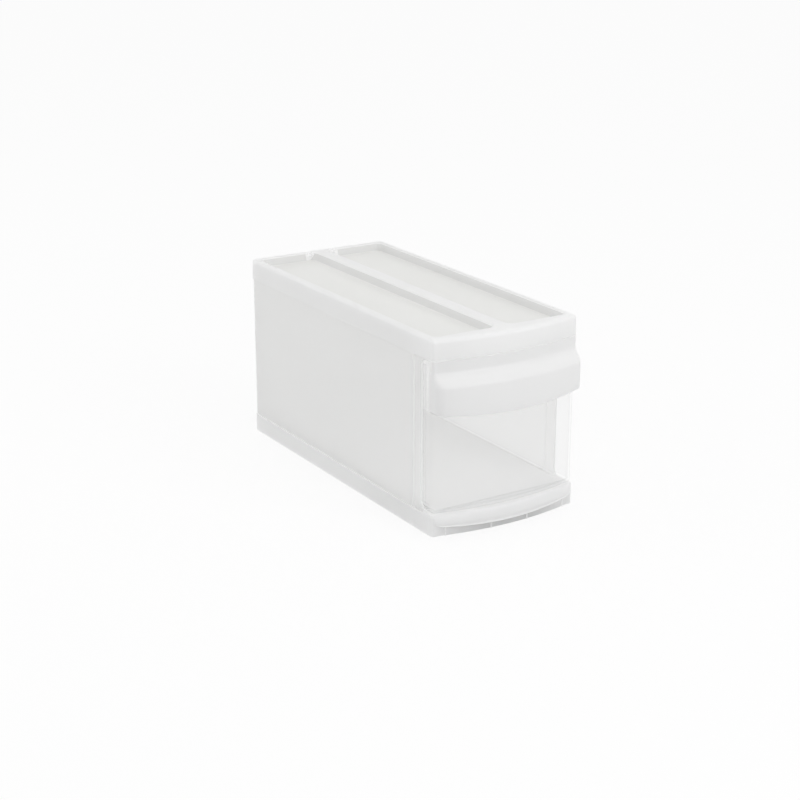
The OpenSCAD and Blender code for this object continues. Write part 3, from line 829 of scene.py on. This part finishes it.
def lipPatches(ledgeY):
    # Lip and ledge as one moulding: a section carried along the bow, from the lower edge up the rounded
    # nose, over the ledge and back along its underside. Its reach falls to nothing round an ellipse at the
    # ends. The nose is a quarter of an ellipse, and the face is hollow by a squared sine
    wide, e = casing["wall"], base["lipEdge"]
    w, tipLong = casing["halfWidth"] - base["lipNarrow"], base["lipTip"] - base["lipTipFlat"]
    x = np.concatenate([np.linspace(-w, -w + tipLong, 25)[:-1], np.linspace(-w + tipLong, w - tipLong, 61),
                        np.linspace(w - tipLong, w, 25)[1:]])
    radius = casing["frontRadius"]
    corner = np.maximum(np.abs(x) - (casing["halfWidth"] - radius), 0)
    fall = radius - np.sqrt(np.maximum(radius ** 2 - corner ** 2, 0))
    tip = np.sqrt(1 - np.clip((np.abs(x) - w + base["lipTip"]) / tipLong, 0, 1) ** 2)
    out = casing["lipOut"] * tip
    bow = bowCentre - np.sqrt(bowRadius ** 2 - x ** 2) + fall
    noseLow = base["ledgeTop"] - base["lipRound"]
    low = lipEdge(x) * tip + (noseLow + base["lipTipLift"]) * (1 - tip)
    rows = [(bow - out + inset, low + rise) for inset, rise in reversed(rounding(e, 5))]
    for share in base["lipFace"]:
        tuck = base["lipTuck"] * tip * math.sin(math.pi * share ** 0.6) ** 2
        rows.append((bow - out + tuck, low + e + share * np.maximum(noseLow - low - e, base["lipFaceLeast"])))
    for a in quarterTurn(12):
        rows.append((bow - out + (out + wide) * (1 - math.cos(a)), noseLow + base["lipRound"] * math.sin(a)))
    rows.append((np.maximum(bow + wide, base["crownY"]), base["ledgeTop"]))
    crown = len(rows)
    ledge = np.maximum(bow + wide, ledgeY)
    rows += [(ledge, base["ledgeTop"]), (ledge, base["ledgeTop"] - wide),
             (bow + wide + base["lipShelf"], base["ledgeTop"] - wide),
             (bow + wide, low + e), (bow + wide - e, low)]
    points = np.array([lift(np.column_stack([x, y]), z) for y, z in rows])
    # The lip's face and nose take the third material, which paints light on them
    return (dress([grid(points[:crown]), *bar(points)[1:]], 2)
            + [grid(np.concatenate([points[crown - 1:], points[:1]]))])


def makeBase():
    # The band, joined in turn with its ribs, the lip and ledge, the floor plate, the wall below the ledge's
    # back edge, the runners and the feet, less the slots and the seams
    wide, back = casing["wall"], casing["back"]
    ledgeY = cornerY + base["ledgeDeep"]
    wallY, floorIn = ledgeY - wide, base["floor"] + bite
    solids = []
    for x in base["ribs"]:
        y = bowCentre - math.sqrt(bowRadius ** 2 - x * x) + base["ribIn"]
        solids += twins(x, base["ribThick"], (y, y + base["kickBack"] + bite),
                        (base["foot"] + base["ribLift"], lipEdge(x) + bite), base["ribEdge"])
    solids.append(lipPatches(ledgeY))
    plan = bothHalves(casingHalf(wide / 2))
    plan[:, 1] = np.maximum(plan[:, 1], wallY)
    solids.append(slab([lift(plan, z) for z in (base["floor"], base["floor"] + wide)]))
    w = casing["halfWidth"] - base["lipNarrow"]
    wallTop = base["ledgeTop"] - base["wallStep"]
    solids.append(block((-w, wallY, floorIn), (w, ledgeY - hair, wallTop), softEdge))
    runners = twins(base["runnerX"], base["runnerWide"], (ledgeY - bite, back - 2 * panel["return"]),
                    (floorIn, baseHigh[2]), base["runnerEdge"])
    footX = casing["halfWidth"] - cover["sideRim"] - base["footInset"] - base["footWide"] / 2
    footY = (cornerY + cover["frontRim"] + cover["trayRadius"],
             back - cover["backRim"] - cover["trayRadius"] - base["footLong"])
    feet = [twins(footX, base["footWide"], (y, y + base["footLong"]), (0, floorIn), base["footEdge"])
            for y in footY]
    for group in zip(runners, *feet):
        solids += group
    slots = twins(base["runnerX"], base["slotWide"], (wallY - base["slotLong"], wallY - base["slotGap"]),
                  (base["ledgeTop"] - wide - bite, base["ledgeTop"] + bite), base["slotEdge"])
    seams = twins(casing["halfWidth"], 2 * base["seamDeep"],
                  (stepY - base["seamWide"] / 2, stepY + base["seamWide"] / 2),
                  (base["foot"] - bite, base["seamTop"]), crispEdge)
    cuts = [cut for both in zip(slots, seams) for cut in both]
    # The base's second material is painted shade on the kick wall under the lip
    makePiece("base_moulding", bandPatches(ledgeY), [thick, kickShade, nose], "base",
              each(solids) + each(cuts, "DIFFERENCE"))


makeBase()


# Drawer

drawer = {
    "wall": 2.0,
    "halfWidth": 79.0,
    "frontRadius": 2.5,
    "faceInset": 1.5,
    "earEnd": -150.0,             # back end of the wider front part
    "earGap": 0.2,                # the rim has come down to the sides' top this far behind it
    "earRadius": 7.0,
    "earStart": 6.0,              # length behind the front corner that is divided more closely
    "convex": 1.5,                # rounding of the step behind the wider part
    "hollow": 1.0,                # and of its inner corner
    "backRadius": 5.0,
    "sideTop": 172.0,
    "bottomRadius": 2.5,
    "bottomRows": 6,
    "rimEdge": 0.8,
    "levels": (*np.linspace(0.01, 0.06, 8), 0.3, 0.6, 0.9),    # rows up its sides, closer near the bottom
    "tabX": 38.0,
    "tabWide": 16.0,
    "tabY": 143.3,
    "tabLong": 3.0,
    "tabEdge": 0.4,
    "polishedY": -170.0,          # the floor is polished in front of this and eroded behind
    "sharpAngle": 50,
}


def drawerHalf(inset, z):
    # Right half of the drawer's plan at a height, moved in: the bowed window, the wider front part back
    # to its end, which runs round a circle near the bottom, the step inwards, the side and the back
    w, side = tubHigh[0] - inset, drawer["halfWidth"] - inset
    r = drawer["earRadius"]
    below = np.clip(tubFloor + r - z, 0, r)
    earEnd = drawer["earEnd"] - r + math.sqrt(r * r - below * below) - inset
    convex, hollow = drawer["convex"], drawer["hollow"]
    b = max(drawer["backRadius"] - inset, leastRadius)
    back = tubHigh[1] - inset
    front = bowedHalf(w, bowRadius - drawer["faceInset"] - inset, drawer["frontRadius"] - inset)
    bend = min(front[-1][1] + drawer["earStart"], earEnd - convex - bite)
    return chain(front, line(front[-1], (w, bend), 3), line((w, bend), (w, earEnd - convex), 12),
                 arc(w - convex, earEnd - convex, convex, 0, 90, 5),
                 line((w - convex, earEnd), (side + hollow, earEnd), 2),
                 arc(side + hollow, earEnd + hollow, hollow, 270, 180, 5),
                 line((side, earEnd + hollow), (side, back - b), 20),
                 arc(side - b, back - b, b, 0, 90, casing["cornerSteps"]),
                 line((side - b, back), (0, back), casing["backSteps"]))


def rimHeight(rim, high):
    # Height of the rim at each point: the full height in front, then down round a circle to the sides' top
    r = drawer["earRadius"]
    start = drawer["earEnd"] - r
    curve = np.sqrt(np.maximum(r * r - np.clip(rim[:, 1] - start, 0, r) ** 2, 0))
    top = np.where(rim[:, 1] < start, high, np.maximum(high - r + curve, drawer["sideTop"]))
    return np.where(rim[:, 1] > drawer["earEnd"] + drawer["earGap"], drawer["sideTop"], top)


def makeDrawer():
    # Loops of the plan at the insets and heights of a profile: round the outer bottom edge, up the outside,
    # over the rim, down the inside and round the fillet above the floor. Lids close it below and inside
    low, high, t = tubFloor, tubHigh[2], drawer["wall"]
    b, e, turn = drawer["bottomRadius"], drawer["rimEdge"], drawer["bottomRows"]
    top = rimHeight(bothHalves(drawerHalf(0, high)), high)

    def level(inset, z, height):
        # The plan of one height, moved in and lifted to the same or another height
        return lift(bothHalves(drawerHalf(inset, z)), height)

    bottom, rim = rounding(b, turn), rounding(e, 4)
    sides = [(low + b + share * (high - low - b), low + b + share * (top - e - low - b))
             for share in drawer["levels"]]
    rows = [level(inset, low + rise, low + rise) for inset, rise in reversed(bottom)]
    rows += [level(0, z, height) for z, height in sides]
    rows += [level(inset, high, top - fall) for inset, fall in rim]
    rows += [level(t - inset, high, top - fall) for inset, fall in reversed(rim)]
    rows += [level(t, z, height) for z, height in reversed(sides)]
    rows += [level(t + inset, low + t + rise, low + t + rise) for inset, rise in bottom]
    patches = [tube(rows[turn - 1:1 - turn]), *dress([tube(rows[:turn]), tube(rows[-turn:])], 2)]
    for loop in (rows[0], rows[-1]):
        strip = int(np.argmax(loop[:, 1] > drawer["polishedY"]))
        patches.append(lid(np.roll(loop, strip, axis=0)[:2 * strip + 1]))
        patches += dress([lid(loop[strip:len(loop) - strip + 1])], 1)
    tabs = twins(drawer["tabX"], drawer["tabWide"], (drawer["tabY"], drawer["tabY"] + drawer["tabLong"]),
                 (tubLow[2], low + bite), drawer["tabEdge"])
    makePiece("drawer_moulding", patches, [clear, eroded, foot], "drawer_tub", each(tabs),
              drawer["sharpAngle"])


makeDrawer()


# Handle

handle = {
    "out": 11.0,
    "rise": 5.0,                  # the lower edge is this much higher at the sides than in the middle
    "faceHigh": 30.0,
    "faceEnd": 2.0,               # that rise has faded out this far below the ridge
    "curveHigh": 15.0,
    "curveRows": 16,
    "lowRows": (1, 6, 15),        # rows of the face, in mm above the lower edge
    "topRows": (4, 0.8),          # rows above the curve, in mm below the top
    "wall": 2.0,
    "cornerRadius": 9.0,
    "topCorner": 3.5,
    "endWall": 1.0,
    "endWrap": 6.0,
    "endRadius": 16.0,
    "endLeast": 0.3,              # the end plates reach at least this far back
    "endSteps": 8,
    "hookHigh": 12.0,
    "back": 1.2,                  # the skin's back lies this far behind the casing's bow
    "hookHalf": 77.4,
    "hookRounds": (0.1, 0.5, 0.6, 0.6, 1.2),
    "hookStart": 0.1,             # the hook's section starts and ends this far below the top
    "hookEnd": 0.05,
    # Rounded edges as rows of mm into the wall, mm from the edge and mm in at the ends
    "lowRound": ((0.8, 0, 0.3), (0.3, 0.2, 0.1)),
    "topRoundOut": ((0.15, 0.2, 0.15), (0.5, 0, 0.4)),
    "topRoundIn": ((0.1, 0.2, 0.1), (0.4, 0, 0.3)),
}


def gripOut(z):
    # How far the grip stands out at a height: the full reach on its face, then half a cosine wave
    ridge = gripLow[2] + handle["faceHigh"]
    share = np.clip((z - ridge) / handle["curveHigh"], 0, 1)
    return handle["out"] * (1 + np.cos(math.pi * share)) / 2


def handleHalf(out, z, inset):
    # Right half of the handle's plan at a height: the bow moved out, the corner, and the end plate back to
    # its edge, whose upper corner is a large arc. inset moves the end plate's face in
    w = gripHigh[0] - inset
    share = np.clip(out / handle["out"], 0, 1)
    corner = handle["topCorner"] + (handle["cornerRadius"] - handle["topCorner"]) * share - inset
    front = bowedHalf(w, bowRadius + out, corner)
    plateTop = gripHigh[2] - handle["wall"] - handle["endRadius"]
    up = np.clip(z - plateTop, 0, handle["endRadius"])
    end = cornerY + handle["endWrap"] - handle["endRadius"] + math.sqrt(handle["endRadius"] ** 2 - up * up)
    return chain(front, line(front[-1], (w, max(end, front[-1][1] + handle["endLeast"])), handle["endSteps"]))


def makeHandle():
    # A skin whose outer face stands out by gripOut, with an inner face a wall behind it, rounded at the
    # lower and the upper edge. The lower rows rise towards the sides round a circle
    low, top, t = gripLow[2], gripHigh[2], handle["wall"]
    endWall, back = handle["endWall"], handle["back"]
    ridge = low + handle["faceHigh"]
    faceEnd = ridge - handle["faceEnd"]
    arch = (casing["halfWidth"] ** 2 + handle["rise"] ** 2) / (2 * handle["rise"])
    levels = np.concatenate([low + np.array(handle["lowRows"]), [faceEnd],
                             np.linspace(ridge, ridge + handle["curveHigh"], handle["curveRows"]),
                             top - np.array(handle["topRows"])])

    def row(out, z, inset):
        # The plan across the front, lifted to a height plus the arch's rise, which fades out up the face
        path = acrossFront(handleHalf(out, z, inset))
        rise = arch - np.sqrt(np.maximum(arch ** 2 - path[:, 0] ** 2, 0))
        return lift(path, z + rise * np.clip((faceEnd - z) / (faceEnd - low), 0, 1))

    lowOut = gripOut(low)
    outer = [row(lowOut - cut, low + up, side) for cut, up, side in handle["lowRound"]]
    outer += [row(gripOut(z), z, 0) for z in levels]
    outer += [row(-cut, top - down, side) for cut, down, side in handle["topRoundOut"]]
    inner = [row(lowOut - t + cut, low + up, endWall - side) for cut, up, side in handle["lowRound"]]
    inner += [row(max(gripOut(z) - t, -back), z, endWall) for z in levels]
    inner += [row(cut - back, top - down, endWall - side) for cut, down, side in handle["topRoundIn"]]
    outer, inner = np.array(outer), np.array(inner)
    patches = [grid(np.concatenate([outer, inner[::-1]]), closedRows=True)]
    patches += [grid(np.stack([outer[:, end], inner[:, end]])) for end in (0, -1)]

    # Hook that clips over the drawer's front wall: its section runs from the skin over the wall, down
    # behind it and back up
    skinIn, wallIn = -back / 2, -(drawer["faceInset"] + drawer["wall"] + panel["gap"])
    hookLow = top - handle["hookHigh"]
    section = roundedPath([(skinIn, top - handle["hookStart"]), (skinIn, top - t), (wallIn, top - t),
                           (wallIn, hookLow), (wallIn - t, hookLow), (wallIn - t, top),
                           (skinIn, top - handle["hookEnd"])], handle["hookRounds"], 4)
    hook = bar(np.array([lift(frontPath(out, handle["hookHalf"]), z) for out, z in section]))
    makePiece("handle_moulding", patches, [grip], "drawer_handle", each([hook]))


makeHandle()


# Floor, light and camera

stageValues = {
    "floorHalf": 6.0,
    "floorDrop": 0.0002,          # m below the feet
    "floorColour": "#FDFDFD",     # seen by the camera
    "floorBounce": "#C8C8C8",     # that the object is lit by
    "floorWhite": 0.86,           # share of plain white that the camera sees in the floor
    "white": (1, 1, 1, 1),
    "worldLight": 0.77,
}


def plainView(tree):
    # 1 for a ray that the camera, a gloss or a clear wall sees straight, and 0 for one that lights: the
    # largest of the three
    path = addNode(tree, "ShaderNodeLightPath")
    seen = addNode(tree, "ShaderNodeMath", {"operation": "MAXIMUM"},
                   links={0: path.outputs["Is Camera Ray"], 1: path.outputs["Is Transmission Ray"]})
    seen = addNode(tree, "ShaderNodeMath", {"operation": "MAXIMUM"},
                   links={0: seen.outputs["Value"], 1: path.outputs["Is Glossy Ray"]})
    return seen.outputs["Value"]


def makeFloor():
    # A square of pale paper, darker where it only lights the object, mixed with plain white where it's seen
    h = stageValues["floorHalf"]
    mesh = bpy.data.meshes.new("floor")
    mesh.from_pydata([(-h, -h, 0), (h, -h, 0), (h, h, 0), (-h, h, 0)], [], [(0, 1, 2, 3)])
    floor = bpy.data.objects.new("floor", mesh)
    floor.location.z = -stageValues["floorDrop"]
    bpy.context.scene.collection.objects.link(floor)
    material, tree = newMaterial("white studio floor")
    seen = plainView(tree)
    white = addNode(tree, "ShaderNodeEmission", values={"Color": stageValues["white"], "Strength": 1.0})
    share = addNode(tree, "ShaderNodeMath", {"operation": "MULTIPLY"}, {1: stageValues["floorWhite"]},
                    {0: seen})
    tone = addNode(tree, "ShaderNodeMix", {"data_type": "RGBA"},
                   {"A": linear(stageValues["floorBounce"]), "B": linear(stageValues["floorColour"])},
                   {"Factor": seen})
    paper = addNode(tree, "ShaderNodeBsdfDiffuse", links={"Color": tone.outputs["Result"]})
    both = addNode(tree, "ShaderNodeMixShader",
                   links={0: share.outputs["Value"], 1: paper.outputs["BSDF"], 2: white.outputs["Emission"]})
    addNode(tree, "ShaderNodeOutputMaterial", links={"Surface": both.outputs["Shader"]})
    mesh.materials.append(material)


def makeWorld():
    # White all round, at full strength where it's seen and at the world's light where it lights
    world = bpy.data.worlds.new("studio")
    bpy.context.scene.world = world
    world.use_nodes = True
    tree = world.node_tree
    tree.nodes.clear()
    soft, white = [addNode(tree, "ShaderNodeBackground",
                           values={"Color": stageValues["white"], "Strength": strength})
                   for strength in (stageValues["worldLight"], 1.0)]
    both = addNode(tree, "ShaderNodeMixShader",
                   links={0: plainView(tree), 1: soft.outputs["Background"], 2: white.outputs["Background"]})
    addNode(tree, "ShaderNodeOutputWorld", links={"Surface": both.outputs["Shader"]})


lampAim = (0, 0, 0.1)             # m
lamps = {
    "overhead": {"place": (0.0, -0.7, 1.8), "width": 1.6, "power": 1.7},
    "front": {"place": (0.7, -2.2, 1.3), "width": 1.4, "power": 12.0},
    "left": {"place": (-2.0, 1.2, 0.9), "width": 1.4, "power": 7.0},
}


def makeLamps():
    # Square lamps that face the aim
    for name, lamp in lamps.items():
        light = bpy.data.lights.new(name, "AREA")
        light.size, light.energy = lamp["width"], lamp["power"]
        holder = bpy.data.objects.new(name, light)
        holder.location = lamp["place"]
        holder.rotation_euler = (Vector(lampAim) - holder.location).to_track_quat("-Z", "Y").to_euler()
        bpy.context.scene.collection.objects.link(holder)


cameraValues = {
    "azimuth": -31.968,           # degrees
    "elevation": 18.712,
    "place": (-0.9204, -1.4550, 0.6621),
    "lens": 76.77,                # mm
    "sensor": 36.0,
}


def makeCamera():
    # The camera faces against the direction of its azimuth and elevation: sine and minus cosine of the
    # azimuth times the cosine of the elevation, and the sine of the elevation
    a, e = math.radians(cameraValues["azimuth"]), math.radians(cameraValues["elevation"])
    back = Vector((math.sin(a) * math.cos(e), -math.cos(a) * math.cos(e), math.sin(e)))
    lens = bpy.data.cameras.new("camera")
    lens.lens, lens.sensor_width = cameraValues["lens"], cameraValues["sensor"]
    camera = bpy.data.objects.new("camera", lens)
    camera.location = cameraValues["place"]
    camera.rotation_euler = (-back).to_track_quat("-Z", "Y").to_euler()
    bpy.context.scene.collection.objects.link(camera)
    bpy.context.scene.camera = camera


# Milky walls pass light on many times before it comes out again
bounceLimits = {
    "max_bounces": 24,
    "diffuse_bounces": 12,
    "transmission_bounces": 16,
    "transparent_max_bounces": 24,
}

makeFloor()
makeWorld()
makeLamps()
makeCamera()
bpy.context.scene.view_settings.view_transform = "Standard"
for name, limit in bounceLimits.items():
    setattr(bpy.context.scene.cycles, name, limit)
print("floor, light and camera made")
